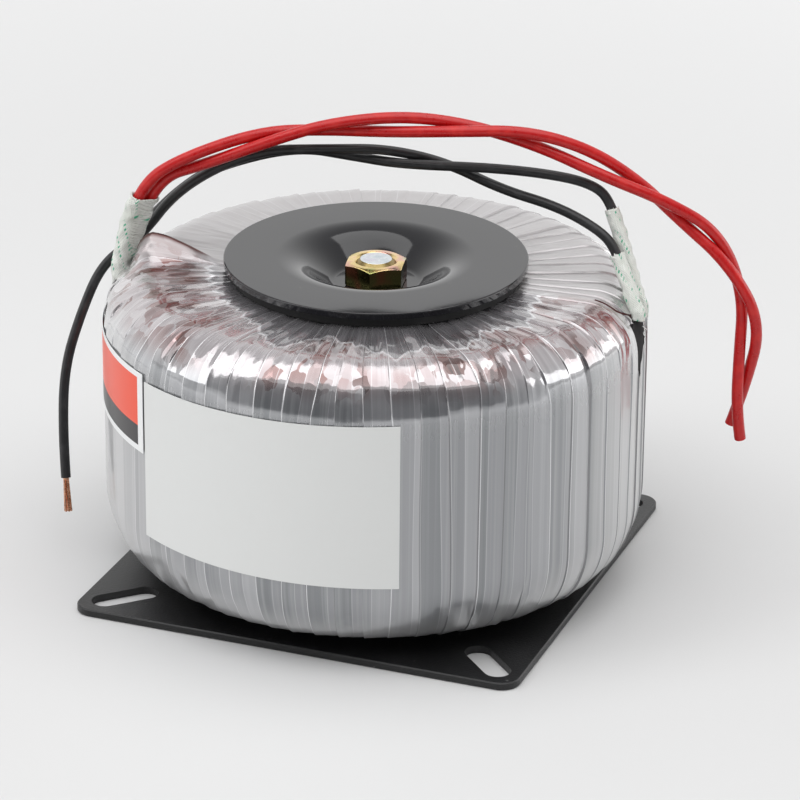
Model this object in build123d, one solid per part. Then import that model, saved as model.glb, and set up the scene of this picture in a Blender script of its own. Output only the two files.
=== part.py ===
from build123d import *
from dataclasses import dataclass
import math
import os

# Toroidal mains transformer on a square base plate.
# Millimetres. Z is up, z = 0 is the underside of the plate, and the Z axis is the axis of the ring.
# The plate's diagonals lie along X and Y, so its four slots do too.

# Running clearances
LAYER_GAP = 0.1
THREAD_CLEARANCE = 0.05
BOLT_HOLE_CLEARANCE = 0.5
PAD_CLEARANCE = 1.5
SLEEVE_CLEARANCE = 0.15
LABEL_CLEARANCE = 0.05
CONDUCTOR_CLEARANCE = 0.03

# Base plate: a square of sheet steel, pressed up in the middle to make room for the bolt head
PLATE_SIDE = 120.0
PLATE_THICKNESS = 2.0
PLATE_CORNER_R = 5.0
PLATE_EDGE_BREAK = 0.3
SLOT_WIDTH = 7.0
SLOT_LENGTH = 18.0
SLOT_SPACING = 140.0
BOSS_ROOM = 10.0
BOSS_FLOOR_MARGIN = 0.6
BOSS_WALL_ANGLE = 45.0
BOSS_BEND_R = 2.0

# Clamp bolt and nut, M10
THREAD_D = 10.0
HEX_ACROSS_FLATS = 16.0
HEX_CHAMFER_ANGLE = 20.0
HEX_FACE_D = 15.2
BOLT_HEAD_HEIGHT = 6.4
BOLT_PROUD = 0.4
BOLT_END_CHAMFER = 1.0
NUT_HEIGHT = 5.0
NUT_BORE_CHAMFER = 0.5
NUT_TURN = -114.4

# Rubber pads
LOWER_PAD_THICKNESS = 3.0
LOWER_PAD_R = 48.0
UPPER_PAD_THICKNESS = 2.5
UPPER_PAD_INSET = 1.5

# Core: a ring wound from steel strip
CORE_R = 60.0
CORE_BORE_R = 32.0
CORE_HEIGHT = 56.0
CORE_EDGE_R = 5.0

# Layers wound on the core. Wire lies deeper in the bore, where there is less room round it.
CORE_FILM = 0.8
PRIMARY_AT_RIM = 3.0
PRIMARY_IN_BORE = 4.0
PRIMARY_ON_FACE = 3.3
WINDING_FILM = 0.5
SECONDARY_AT_RIM = 4.4
SECONDARY_IN_BORE = 5.4
SECONDARY_ON_FACE = 4.2
WRAP_FILM = 0.8

# How much rounder each corner gets for each millimetre wound on: across, then up
CROWN_GROWTH = (0.82, 0.90)
SKIRT_GROWTH = (1.00, 1.50)
THROAT_GROWTH = 0.42
LAYER_STEPS = 2
LAYER_THROAT_STEPS = 1

# Clear film wrap: turns of film that overlap like shingles round the ring
WRAP_TURNS = 62
WRAP_STEP = 0.35
WRAP_BORE_STEP = 0.12
WRAP_CORNER_STEPS = 4
WRAP_THROAT_STEPS = 2

# Dished washer
WASHER_R = 39.0
WASHER_SHEET = 1.6
WASHER_DEPTH = 6.1
WASHER_FLOOR_MARGIN = 0.5
WASHER_WALL_ANGLE = 36.0
WASHER_LIP_R = 2.0
WASHER_FLOOR_BEND_R = 3.0

# Woven sleeves: bore and wall, and the stations of the middle line from the foot in the winding up.
# A station has its bearing, how far it is inside the rim, its height over the top face, and the bearing of
# the sleeve's wide side there.
SLEEVE_WALL = 0.35
SLEEVE_END_SIDES = 6
RED_SLEEVE_BORE = (7.4, 3.65)
RED_SLEEVE_BEARINGS = (143.9, 143.1, 143.2, 143.6)
RED_SLEEVE_INSETS = (2.7, 2.6, 6.0, 8.8)
RED_SLEEVE_HEIGHTS = (-10.7, -3.2, 7.5, 15.2)
RED_SLEEVE_WIDE_BEARINGS = (54, 48, 14, 12)
BLACK_SLEEVE_BORE = (3.1, 3.1)
BLACK_SLEEVE_WIDE_BEARINGS = (50, 50, 50)
FRONT_SLEEVE_BEARINGS = (-37.5, -36.9, -30.4)
FRONT_SLEEVE_INSETS = (2.0, 1.7, 8.3)
FRONT_SLEEVE_HEIGHTS = (-12.2, -7.2, 7.4)
REAR_SLEEVE_BEARINGS = (-33.2, -32.0, -22.9)
REAR_SLEEVE_INSETS = (1.7, 1.7, 9.9)
REAR_SLEEVE_HEIGHTS = (-12.7, -6.2, 16.8)

# Leads: the points that each line turns at, from inside the sleeve to the free end
RED_LEAD_D = 3.0
BLACK_LEAD_D = 2.6
LEAD_ARC_SHARE = 0.45
LEAD_SIDES = 10
RED_LEAD_1_LINE = [
    (-52.6, 37.8, 90.3),
    (-50.4, 35.0, 100.0),
    (-41.5, 31.0, 107.0),
    (-22.5, 23.0, 114.5),
    (-8.0, 15.5, 115.5),
    (6.0, 6.0, 116.0),
    (20.0, -5.5, 118.0),
    (35.5, -13.0, 118.5),
    (50.5, -18.5, 113.5),
    (63.5, -22.5, 104.0),
    (72.0, -28.0, 94.5),
    (81.5, -38.0, 84.5),
    (89.0, -43.5, 69.0),
    (88.5, -37.5, 49.5),
    (85.5, -35.5, 38.0),
]
RED_LEAD_2_LINE = [
    (-49.1, 38.3, 89.8),
    (-46.2, 35.5, 101.0),
    (-34.5, 29.0, 105.5),
    (-21.5, 18.0, 113.5),
    (-8.5, 11.5, 118.5),
    (9.0, 4.5, 120.5),
    (24.5, -3.0, 118.5),
    (40.0, -13.0, 113.5),
    (53.0, -22.5, 107.0),
    (67.5, -29.5, 100.5),
    (81.0, -33.5, 91.5),
    (87.0, -37.0, 75.0),
    (85.0, -39.5, 58.5),
    (84.0, -41.0, 44.5),
    (85.5, -41.0, 36.0),
]
BLACK_LEAD_1_LINE = [
    (53.5, -33.2, 85.6),
    (53.0, -30.0, 90.4),
    (50.0, -25.8, 94.3),
    (43.0, -16.5, 98.2),
    (32.5, -5.5, 100.5),
    (21.5, 5.0, 106.0),
    (7.0, 10.0, 110.0),
    (-6.5, 14.0, 110.5),
    (-23.5, 23.5, 109.5),
    (-39.5, 36.0, 97.5),
    (-47.5, 45.0, 81.0),
    (-56.5, 48.5, 74.5),
    (-63.5, 47.0, 61.5),
    (-69.0, 45.0, 48.0),
    (-72.0, 39.0, 32.5),
    (-72.5, 36.0, 21.0),
]
BLACK_LEAD_2_LINE = [
    (55.7, -25.0, 95.2),
    (55.1, -22.0, 100.5),
    (51.5, -18.8, 103.8),
    (44.0, -13.5, 105.5),
    (30.5, -5.0, 106.5),
    (10.0, 6.5, 106.5),
    (1.0, 15.0, 107.0),
    (-13.0, 22.0, 109.5),
    (-31.0, 33.5, 102.5),
    (-38.0, 41.0, 94.5),
    (-45.0, 49.0, 83.0),
    (-44.0, 60.0, 70.5),
    (-42.0, 65.5, 49.5),
    (-39.5, 67.0, 34.0),
    (-38.0, 67.5, 24.0),
]

# Stranded copper at the leads' free ends
STRAND_D = 0.5
STRANDS_ROUND = 6
CONDUCTOR_SEAT = 3.0
FLUSH_LENGTH = 0.3
STRIPPED_LENGTH = 9.0
STRAND_SPLAY = 0.35

# Labels on the outer wall, by bearing in degrees
LABEL_THICKNESS = 0.15
RATING_LABEL_BEARINGS = (-169.1, -109.0)
RATING_LABEL_HEIGHT = 42.0
SIDE_LABEL_BEARINGS = (-214.5, -169.8)
SIDE_LABEL_HEIGHT = 21.5
SIDE_LABEL_LIFT = 1.5


def rounded(centre_r, centre_z, across, up, first, last, steps):
    """Points round a corner, from one angle of its ellipse to another, in degrees."""
    angles = [math.radians(first + (last - first) * i / steps) for i in range(steps + 1)]
    return [(centre_r + across * math.cos(angle), centre_z + up * math.sin(angle)) for angle in angles]


@dataclass(frozen=True)
class Ring:
    """The section of a ring about Z: its radii, its heights and how its corners are rounded."""

    bore: float
    rim: float
    low: float
    high: float
    crown: tuple
    skirt: tuple
    throat: float

    def grown(self, rim, bore=None, face=None):
        """The ring with a layer wound on: at the rim, in the bore and on both faces."""
        bore = rim if bore is None else bore
        face = rim if face is None else face
        return Ring(
            bore=self.bore - bore,
            rim=self.rim + rim,
            low=self.low - face,
            high=self.high + face,
            crown=(self.crown[0] + CROWN_GROWTH[0] * rim, self.crown[1] + CROWN_GROWTH[1] * face),
            skirt=(self.skirt[0] + SKIRT_GROWTH[0] * rim, self.skirt[1] + SKIRT_GROWTH[1] * face),
            throat=self.throat + THROAT_GROWTH * bore,
        )

    def outline(self, steps, throat_steps):
        """The section's corner points in the XZ plane, each rounded corner in so many straight steps."""
        across, up = self.crown
        skirt_across, skirt_up = self.skirt
        throat_r = self.bore + self.throat
        return (
            rounded(throat_r, self.high - self.throat, self.throat, self.throat, 180, 90, throat_steps)
            + rounded(self.rim - across, self.high - up, across, up, 90, 0, steps)
            + rounded(self.rim - skirt_across, self.low + skirt_up, skirt_across, skirt_up, 0, -90, steps)
            + rounded(throat_r, self.low + self.throat, self.throat, self.throat, 270, 180, throat_steps)
        )

    def solid(self):
        """The whole ring as one solid."""
        section = make_face(Polyline(*self.outline(LAYER_STEPS, LAYER_THROAT_STEPS), close=True))
        return revolve(Plane.XZ * section, Axis.Z)


# The rings that the layers lie between, from the core out to the film
LAYER_FACES = CORE_FILM + PRIMARY_ON_FACE + WINDING_FILM + SECONDARY_ON_FACE + WRAP_FILM
BODY_LOW = PLATE_THICKNESS + LOWER_PAD_THICKNESS
CORE_LOW = BODY_LOW + LAYER_FACES + 5 * LAYER_GAP
CORE_EDGES = (CORE_EDGE_R, CORE_EDGE_R)
CORE_RING = Ring(CORE_BORE_R, CORE_R, CORE_LOW, CORE_LOW + CORE_HEIGHT, CORE_EDGES, CORE_EDGES, CORE_EDGE_R)
CORE_FILM_IN = CORE_RING.grown(LAYER_GAP)
CORE_FILM_OUT = CORE_FILM_IN.grown(CORE_FILM)
PRIMARY_IN = CORE_FILM_OUT.grown(LAYER_GAP)
PRIMARY_OUT = PRIMARY_IN.grown(PRIMARY_AT_RIM, PRIMARY_IN_BORE, PRIMARY_ON_FACE)
WINDING_FILM_IN = PRIMARY_OUT.grown(LAYER_GAP)
WINDING_FILM_OUT = WINDING_FILM_IN.grown(WINDING_FILM)
SECONDARY_IN = WINDING_FILM_OUT.grown(LAYER_GAP)
SECONDARY_OUT = SECONDARY_IN.grown(SECONDARY_AT_RIM, SECONDARY_IN_BORE, SECONDARY_ON_FACE)
WRAP_IN = SECONDARY_OUT.grown(LAYER_GAP)
WRAP_RIDGE = WRAP_IN.grown(WRAP_FILM)
WRAP_VALLEY = WRAP_RIDGE.grown(-WRAP_STEP, -WRAP_BORE_STEP, -WRAP_STEP)

# Heights of the hardware, from the body's top face up
HEX_CORNER_R = HEX_ACROSS_FLATS / math.sqrt(3)
WASHER_TOP = WRAP_RIDGE.high + UPPER_PAD_THICKNESS + WASHER_SHEET
NUT_SEAT = WASHER_TOP - WASHER_DEPTH
BOLT_TOP = NUT_SEAT + NUT_HEIGHT + BOLT_PROUD


def pressed_dish(hole_r, floor_r, floor_z, rim_r, rim_z, sheet, wall_angle, floor_bend_r, rim_bend_r):
    """A round dish pressed from sheet, about Z. Heights are the upper face's, bends are inside radii."""
    rising = rim_z > floor_z
    foot_r = floor_r + abs(rim_z - floor_z) / math.tan(math.radians(wall_angle))
    shift = math.copysign(sheet * math.tan(math.radians(wall_angle / 2)), rim_z - floor_z)
    upper = [(hole_r, floor_z), (floor_r, floor_z), (foot_r, rim_z), (rim_r, rim_z)]
    lower = [(r + (shift if 0 < i < 3 else 0), z - sheet) for i, (r, z) in enumerate(upper)]
    upper_bends = (floor_bend_r, rim_bend_r + sheet) if rising else (floor_bend_r + sheet, rim_bend_r)
    lower_bends = (floor_bend_r + sheet, rim_bend_r) if rising else (floor_bend_r, rim_bend_r + sheet)
    edges = FilletPolyline(*upper, radius=upper_bends).edges()
    edges += FilletPolyline(*lower, radius=lower_bends).edges()
    edges += [Line(upper[0], lower[0]).edge(), Line(upper[-1], lower[-1]).edge()]
    return revolve(Plane.XZ * make_face(edges), Axis.Z)


def hexagon_bar(height, chamfered_low, chamfered_high):
    """A hexagon bar standing on z = 0, with a corner towards +X and the corners turned off at its ends."""
    face_r = HEX_FACE_D / 2
    drop = (HEX_CORNER_R - face_r) * math.tan(math.radians(HEX_CHAMFER_ANGLE))
    low = [(face_r, 0), (HEX_CORNER_R, drop)] if chamfered_low else [(HEX_CORNER_R, 0)]
    high = [(HEX_CORNER_R, height - drop), (face_r, height)] if chamfered_high else [(HEX_CORNER_R, height)]
    section = make_face(Polyline((0, 0), *low, *high, (0, height), close=True))
    turned = revolve(Plane.XZ * section, Axis.Z)
    return extrude(RegularPolygon(HEX_CORNER_R, 6), height) & turned


def flat_ring(bore_r, rim_r, low, thickness):
    """A flat ring about Z."""
    return Pos(0, 0, low) * extrude(Circle(rim_r) - Circle(bore_r), thickness)


def base_plate():
    """The square plate with its four slots and its pressed-up middle."""
    bend_reach = (BOSS_BEND_R + PLATE_THICKNESS) * math.tan(math.radians(BOSS_WALL_ANGLE / 2))
    floor_r = (
        HEX_CORNER_R + BOSS_FLOOR_MARGIN + BOSS_BEND_R * math.tan(math.radians(BOSS_WALL_ANGLE / 2))
        + PLATE_THICKNESS * math.tan(math.radians(BOSS_WALL_ANGLE / 2))
    )
    foot_r = floor_r + BOSS_ROOM / math.tan(math.radians(BOSS_WALL_ANGLE)) + bend_reach
    square = Rot(0, 0, 45) * RectangleRounded(PLATE_SIDE, PLATE_SIDE, PLATE_CORNER_R)
    sheet = extrude(square, PLATE_THICKNESS)
    rims = sheet.faces().sort_by(Axis.Z)
    sheet = chamfer(rims[0].edges() + rims[-1].edges(), PLATE_EDGE_BREAK)
    slot = extrude(SlotOverall(SLOT_LENGTH, SLOT_WIDTH), PLATE_THICKNESS)
    sheet -= [location * slot for location in PolarLocations(SLOT_SPACING / 2, 4)]
    sheet -= extrude(Circle(foot_r), PLATE_THICKNESS)
    boss = pressed_dish(
        hole_r=(THREAD_D + BOLT_HOLE_CLEARANCE) / 2,
        floor_r=floor_r,
        floor_z=BOSS_ROOM + PLATE_THICKNESS,
        rim_r=foot_r,
        rim_z=PLATE_THICKNESS,
        sheet=PLATE_THICKNESS,
        wall_angle=BOSS_WALL_ANGLE,
        floor_bend_r=BOSS_BEND_R,
        rim_bend_r=BOSS_BEND_R,
    )
    return sheet + boss, foot_r


def clamp_bolt():
    """The hexagon bolt, its head in the room under the plate and its end just proud of the nut."""
    head = Pos(0, 0, BOSS_ROOM - BOLT_HEAD_HEIGHT) * hexagon_bar(BOLT_HEAD_HEIGHT, True, False)
    shank = Pos(0, 0, BOSS_ROOM) * extrude(Circle(THREAD_D / 2), BOLT_TOP - BOSS_ROOM)
    shank = chamfer(shank.edges().sort_by(Axis.Z)[-1], BOLT_END_CHAMFER)
    return head + shank


def clamp_nut():
    """The thin nut in the dish of the washer."""
    bore_r = THREAD_D / 2 + THREAD_CLEARANCE
    nut = hexagon_bar(NUT_HEIGHT, True, True) - extrude(Circle(bore_r), NUT_HEIGHT)
    mouths = nut.edges().filter_by(GeomType.CIRCLE).filter_by(lambda edge: abs(edge.radius - bore_r) < 1e-6)
    return Pos(0, 0, NUT_SEAT) * Rot(0, 0, NUT_TURN) * chamfer(mouths, NUT_BORE_CHAMFER)


def dished_washer():
    """The big washer: a flat rim on the rubber, and a middle that sinks into the bore of the ring."""
    bend = math.tan(math.radians(WASHER_WALL_ANGLE / 2))
    floor_r = HEX_CORNER_R + WASHER_FLOOR_MARGIN + WASHER_FLOOR_BEND_R * bend
    washer = pressed_dish(
        hole_r=(THREAD_D + BOLT_HOLE_CLEARANCE) / 2,
        floor_r=floor_r,
        floor_z=NUT_SEAT,
        rim_r=WASHER_R,
        rim_z=WASHER_TOP,
        sheet=WASHER_SHEET,
        wall_angle=WASHER_WALL_ANGLE,
        floor_bend_r=WASHER_FLOOR_BEND_R,
        rim_bend_r=WASHER_LIP_R,
    )
    wall_run = WASHER_DEPTH / math.tan(math.radians(WASHER_WALL_ANGLE))
    lip_r = floor_r + wall_run + (WASHER_LIP_R + WASHER_SHEET) * bend
    return washer, lip_r


def outer_wrap(rooms):
    """The film wrap: each turn falls from its own edge, one step proud, to where the next covers it."""
    pitch = 360 / WRAP_TURNS
    ridge, valley = (
        [Vector(r, 0, z) for r, z in ring.outline(WRAP_CORNER_STEPS, WRAP_THROAT_STEPS)]
        for ring in (WRAP_RIDGE, WRAP_VALLEY)
    )
    step_face = Face(Wire.make_polygon(ridge), [Wire.make_polygon(valley)])
    faces = []
    for turn in range(WRAP_TURNS):
        start = Rot(0, 0, turn * pitch)
        end = Rot(0, 0, (turn + 1) * pitch)
        for i, point in enumerate(ridge):
            edge = start * Line(ridge[i - 1], point)
            faces.append(Face.make_surface_from_curves(edge, end * Line(valley[i - 1], valley[i])))
        faces.append(start * step_face)
    film = Solid(Shell(faces)) - WRAP_IN.solid()
    return film - rooms


def sleeve_section(size):
    """The corner points of a sleeve's section: a slot with its two round ends in straight sides."""
    width, depth = size
    half_flat = (width - depth) / 2
    step = math.pi / SLEEVE_END_SIDES
    corners = SLEEVE_END_SIDES + (1 if half_flat > 0 else 0)
    points = []
    for side, shift in ((0, half_flat), (1, -half_flat)):
        for i in range(corners):
            angle = (side - 0.5) * math.pi + i * step
            points.append((shift + depth / 2 * math.cos(angle), depth / 2 * math.sin(angle)))
    return points


def sleeve_bar(line, size):
    """A solid bar through a sleeve's stations, its wide side turning from one to the next."""
    spots = []
    for bearing, inset, height, _ in line:
        turn = math.radians(bearing)
        r = WRAP_RIDGE.rim - inset
        spots.append(Vector(r * math.cos(turn), r * math.sin(turn), WRAP_RIDGE.high + height))
    outline = make_face(Polyline(*sleeve_section(size), close=True))
    sections = []
    for i, (spot, station) in enumerate(zip(spots, line)):
        along = (spots[min(i + 1, len(spots) - 1)] - spots[max(i - 1, 0)]).normalized()
        turn = math.radians(station[3])
        wide = Vector(math.cos(turn), math.sin(turn), 0)
        wide -= along * wide.dot(along)
        sections.append(Plane(origin=spot, x_dir=wide, z_dir=along) * outline)
    return loft(sections, ruled=True)


def sleeve(line, bore):
    """A woven sleeve, open at both ends."""
    outside = tuple(size + 2 * SLEEVE_WALL for size in bore)
    return sleeve_bar(line, outside) - sleeve_bar(line, bore)


def sleeve_room(line, bore):
    """The room that a sleeve takes in the winding and the film."""
    return sleeve_bar(line, tuple(size + 2 * SLEEVE_WALL + 2 * SLEEVE_CLEARANCE for size in bore))


def lead_path(name, points):
    """Straight runs joined by arcs that are as large as the runs allow."""
    spots = [Vector(*point) for point in points]
    radii = []
    for before, here, after in zip(spots, spots[1:], spots[2:]):
        run_in = here - before
        run_out = after - here
        half_turn = math.radians(run_in.get_angle(run_out)) / 2
        radii.append(LEAD_ARC_SHARE * min(run_in.length, run_out.length) / math.tan(half_turn))
    path = FilletPolyline(*spots, radius=radii)
    print(name, "length", round(path.length, 1), "bend radii", [round(radius, 1) for radius in radii])
    return path


def lead(name, points, diameter, bare_length, splay):
    """An insulated lead and the stranded conductor that shows at its free end.

    The lead's section is a polygon with the area of its circle, which keeps the long tube light.
    """
    path = lead_path(name, points)
    corner_r = diameter / 2 * math.sqrt(2 * math.pi / (LEAD_SIDES * math.sin(2 * math.pi / LEAD_SIDES)))
    skin = sweep(Plane(origin=path @ 0, z_dir=path % 0) * RegularPolygon(corner_r, LEAD_SIDES), path=path)
    bundle_d = 3 * STRAND_D
    seat = Plane(origin=(path @ 1) - (path % 1) * CONDUCTOR_SEAT, z_dir=path % 1)
    skin -= extrude(seat * Circle(bundle_d / 2 + CONDUCTOR_CLEARANCE), CONDUCTOR_SEAT)
    conductor = extrude(Circle(bundle_d / 2), CONDUCTOR_SEAT + min(bare_length, STRAND_D))
    if bare_length > FLUSH_LENGTH:
        lean = math.degrees(math.atan2(splay, bare_length))
        wire = extrude(RegularPolygon(STRAND_D / 2, STRANDS_ROUND), bare_length)
        places = PolarLocations(STRAND_D, STRANDS_ROUND)
        strands = [wire] + [place * Rot(0, lean, 0) * wire for place in places]
        conductor += [Pos(0, 0, CONDUCTOR_SEAT) * strand for strand in strands]
    return skin, seat * conductor


def label(bearings, low, height):
    """A paper label bent round the outer wall."""
    inner_r = WRAP_RIDGE.rim + LABEL_CLEARANCE
    first, last = bearings
    mid_r = inner_r + LABEL_THICKNESS / 2
    band = Circle(inner_r + LABEL_THICKNESS) - Circle(inner_r)
    reach = 2 * mid_r
    turns = [math.radians(first + i * (last - first) / 4) for i in range(5)]
    fan = [(reach * math.cos(turn), reach * math.sin(turn)) for turn in turns]
    return Pos(0, 0, low) * extrude(band & make_face(Polyline((0, 0), *fan, close=True)), height)


def build():
    """Every piece of the transformer by name."""
    plate, boss_foot_r = base_plate()
    washer, washer_lip_r = dished_washer()
    red_line = tuple(
        zip(RED_SLEEVE_BEARINGS, RED_SLEEVE_INSETS, RED_SLEEVE_HEIGHTS, RED_SLEEVE_WIDE_BEARINGS)
    )
    front_line = tuple(
        zip(FRONT_SLEEVE_BEARINGS, FRONT_SLEEVE_INSETS, FRONT_SLEEVE_HEIGHTS, BLACK_SLEEVE_WIDE_BEARINGS)
    )
    rear_line = tuple(
        zip(REAR_SLEEVE_BEARINGS, REAR_SLEEVE_INSETS, REAR_SLEEVE_HEIGHTS, BLACK_SLEEVE_WIDE_BEARINGS)
    )
    sleeves = {
        "red_lead_sleeve": (red_line, RED_SLEEVE_BORE),
        "black_lead_sleeve_front": (front_line, BLACK_SLEEVE_BORE),
        "black_lead_sleeve_rear": (rear_line, BLACK_SLEEVE_BORE),
    }
    rooms = [sleeve_room(line, bore) for line, bore in sleeves.values()]
    leads = {
        "red_lead_1": (RED_LEAD_1_LINE, RED_LEAD_D, FLUSH_LENGTH),
        "red_lead_2": (RED_LEAD_2_LINE, RED_LEAD_D, FLUSH_LENGTH),
        "black_lead_1": (BLACK_LEAD_1_LINE, BLACK_LEAD_D, STRIPPED_LENGTH),
        "black_lead_2": (BLACK_LEAD_2_LINE, BLACK_LEAD_D, STRIPPED_LENGTH),
    }
    label_low = WRAP_RIDGE.low + WRAP_RIDGE.skirt[1]
    side_label_low = label_low + RATING_LABEL_HEIGHT + SIDE_LABEL_LIFT - SIDE_LABEL_HEIGHT
    parts = {
        "base_plate": plate,
        "clamp_bolt": clamp_bolt(),
        "clamp_nut": clamp_nut(),
        "dished_washer": washer,
        "lower_rubber_pad": flat_ring(
            boss_foot_r + PAD_CLEARANCE, LOWER_PAD_R, PLATE_THICKNESS, LOWER_PAD_THICKNESS
        ),
        "upper_rubber_pad": flat_ring(
            washer_lip_r + PAD_CLEARANCE, WASHER_R - UPPER_PAD_INSET, WRAP_RIDGE.high, UPPER_PAD_THICKNESS
        ),
        "core": CORE_RING.solid(),
        "core_insulation": CORE_FILM_OUT.solid() - CORE_FILM_IN.solid(),
        "primary_winding": PRIMARY_OUT.solid() - PRIMARY_IN.solid(),
        "winding_insulation": WINDING_FILM_OUT.solid() - WINDING_FILM_IN.solid(),
        "secondary_winding": SECONDARY_OUT.solid() - SECONDARY_IN.solid() - rooms,
        "outer_wrap": outer_wrap(rooms),
        "rating_label": label(RATING_LABEL_BEARINGS, label_low, RATING_LABEL_HEIGHT),
        "side_label": label(SIDE_LABEL_BEARINGS, side_label_low, SIDE_LABEL_HEIGHT),
    }
    for name, (line, bore) in sleeves.items():
        parts[name] = sleeve(line, bore)
    for name, (points, diameter, bare_length) in leads.items():
        parts[name], parts[name + "_conductor"] = lead(name, points, diameter, bare_length, STRAND_SPLAY)
    return parts


os.makedirs("parts", exist_ok=True)
for part_name, part in build().items():
    export_step(part, "parts/" + part_name + ".step")
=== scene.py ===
"""Looks of the toroidal transformer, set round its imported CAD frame.

Metres. Z is up and z = 0 is the underside of the base plate. The Z axis is the axis of the ring.
"""

import math

import bpy
import numpy as np
from mathutils import Matrix, Vector


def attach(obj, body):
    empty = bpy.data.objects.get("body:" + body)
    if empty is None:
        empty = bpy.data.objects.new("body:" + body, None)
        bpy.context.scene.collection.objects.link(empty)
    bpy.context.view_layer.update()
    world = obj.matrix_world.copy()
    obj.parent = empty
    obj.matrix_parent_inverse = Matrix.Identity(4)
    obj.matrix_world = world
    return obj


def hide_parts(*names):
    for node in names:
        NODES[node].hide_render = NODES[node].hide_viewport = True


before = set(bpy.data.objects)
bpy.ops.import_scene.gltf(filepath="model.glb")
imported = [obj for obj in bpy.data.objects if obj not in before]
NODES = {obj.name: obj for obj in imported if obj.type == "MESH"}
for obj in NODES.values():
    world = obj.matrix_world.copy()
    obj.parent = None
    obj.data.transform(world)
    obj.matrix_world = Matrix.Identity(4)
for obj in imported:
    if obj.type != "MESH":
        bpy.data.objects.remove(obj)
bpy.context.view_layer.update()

MM = 0.001
BODY = "root"

# Camera: where it stands, what it looks at, and how far it is tilted
CAMERA_AT = (-0.4176, -0.9355, 0.4906)
CAMERA_TARGET = (0.00586, -0.00266, 0.04516)
CAMERA_ROLL = math.radians(0.51)
CAMERA_LENS = 193.96
CAMERA_BEARING = math.atan2(CAMERA_AT[1], CAMERA_AT[0])

# Studio
FLOOR_HALF = 6.0
FLOOR_COLOUR = (0.69, 0.69, 0.69, 1)
FAR_FLOOR_COLOUR = (0.85, 0.85, 0.85, 1)
FAR_FLOOR_GLOW = (0.26, 0.26, 0.26, 1)
BACKGROUND = (0.85, 0.85, 0.85, 1)
# Where each light stands, its width and height, and its power
LIGHTS = {
    "overhead": ((-0.08, -0.22, 1.05), (1.30, 1.25), 9.4),
    "right_strip": ((0.95, -0.28, 0.34), (0.9, 0.42), 2.3),
    "left_strip": ((-0.88, 0.16, 0.66), (0.34, 0.95), 2.0),
}

# Film wrap, in millimetres: the section of the ring and the turns of film on it
TURNS = 62
RIM_R = 70.0
BORE_R = 20.0
BODY_LOW = 5.0
BODY_HIGH = 81.2
CROWN = (13.2, 14.09)
SKIRT = (15.0, 20.15)
THROAT = 10.04
TURN_STEP = 0.30
SAMPLES_ACROSS_TURN = (0.0, 0.02, 0.07, 0.15, 0.24, 0.33, 0.42, 0.51, 0.60, 0.69, 0.78, 0.87, 0.95, 0.985)
# Where the tape under the film ends on the front of the top face: bearing and radius
TAPE_EDGE = (
    (-180, 42.0), (-174, 41.5), (-162, 43.0), (-150, 47.0), (-140, 55.5), (-135, 48.0), (-130, 44.0),
    (-118, 48.5), (-109, 56.0), (-101, 50.0), (-92, 54.0), (-80, 46.5), (-68, 51.0), (-55, 44.0), (0, 41.0))
# The way to the side of the ring away from the camera, where the film lies smooth and its top is painted
# pale, a painted reflection of the bright surroundings
PALE_SIDE = (0.598, 0.803)
# The slit below the black leads' sleeves: from which radius on it gapes, the bearing of its middle, and
# then low and high ends of a rise with the change in degrees between them, for its half width and its drift
SLIT_INNER_R = 58.0
SLIT_BEARING = -39.8
SLIT_OPENS = (56.5, 74.0, 5.0)
SLIT_CLOSES = (74.0, 76.5, -4.55)
SLIT_DRIFTS = ((60.0, 74.0, 3.3), (74.0, 79.0, -5.5))
# The film that stands up beside the red leads' sleeve: its bearing, and its height at each radius
TENT_BEARING = 147
TENT_RADII = (40, 44, 49, 54, 58, 60, 62, 64)
TENT_HEIGHTS = (0, 1.6, 4.0, 6.0, 6.9, 5.2, 2.0, 0.0)


def smooth(low, high, value):
    """0 below low, 1 above high, and an even S between."""
    t = np.clip((value - low) / (high - low), 0, 1)
    return t * t * (3 - 2 * t)


def new_object(name, mesh, material, replaced=()):
    """A piece of the transformer that rides on the body and stands for the CAD nodes it replaces."""
    piece = bpy.data.objects.new(name, mesh)
    bpy.context.scene.collection.objects.link(piece)
    piece.data.materials.append(material)
    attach(piece, BODY)
    if replaced:
        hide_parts(*replaced)
    return piece


def grid_mesh(name, points, closed_round, closed_along, uv=None):
    """A mesh of quads through a grid of points, in millimetres, that may close on itself both ways."""
    rows, columns = points.shape[:2]
    index = np.arange(rows * columns).reshape(rows, columns)
    right = np.roll(index, -1, 0) if closed_round else index[1:]
    base = index if closed_round else index[:-1]
    if closed_along:
        quads = np.stack([base, right, np.roll(right, -1, 1), np.roll(base, -1, 1)], -1)
    else:
        quads = np.stack([base[:, :-1], right[:, :-1], right[:, 1:], base[:, 1:]], -1)
    quads = quads.reshape(-1, 4)
    mesh = bpy.data.meshes.new(name)
    mesh.from_pydata((points.reshape(-1, 3) * MM).tolist(), [], quads.tolist())
    if uv is not None:
        layer = mesh.uv_layers.new(name="turns")
        u, v = uv
        face_rows, face_columns = (quads[:, 0] // columns), (quads[:, 0] % columns)
        corners = [(0, 0), (1, 0), (1, 1), (0, 1)]
        table = np.stack([np.stack([u[face_rows + a], v[face_columns + b]], -1) for a, b in corners], 1)
        layer.uv.foreach_set("vector", table.astype(np.float32).ravel())
    mesh.shade_smooth()
    mesh.update()
    return mesh


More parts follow.
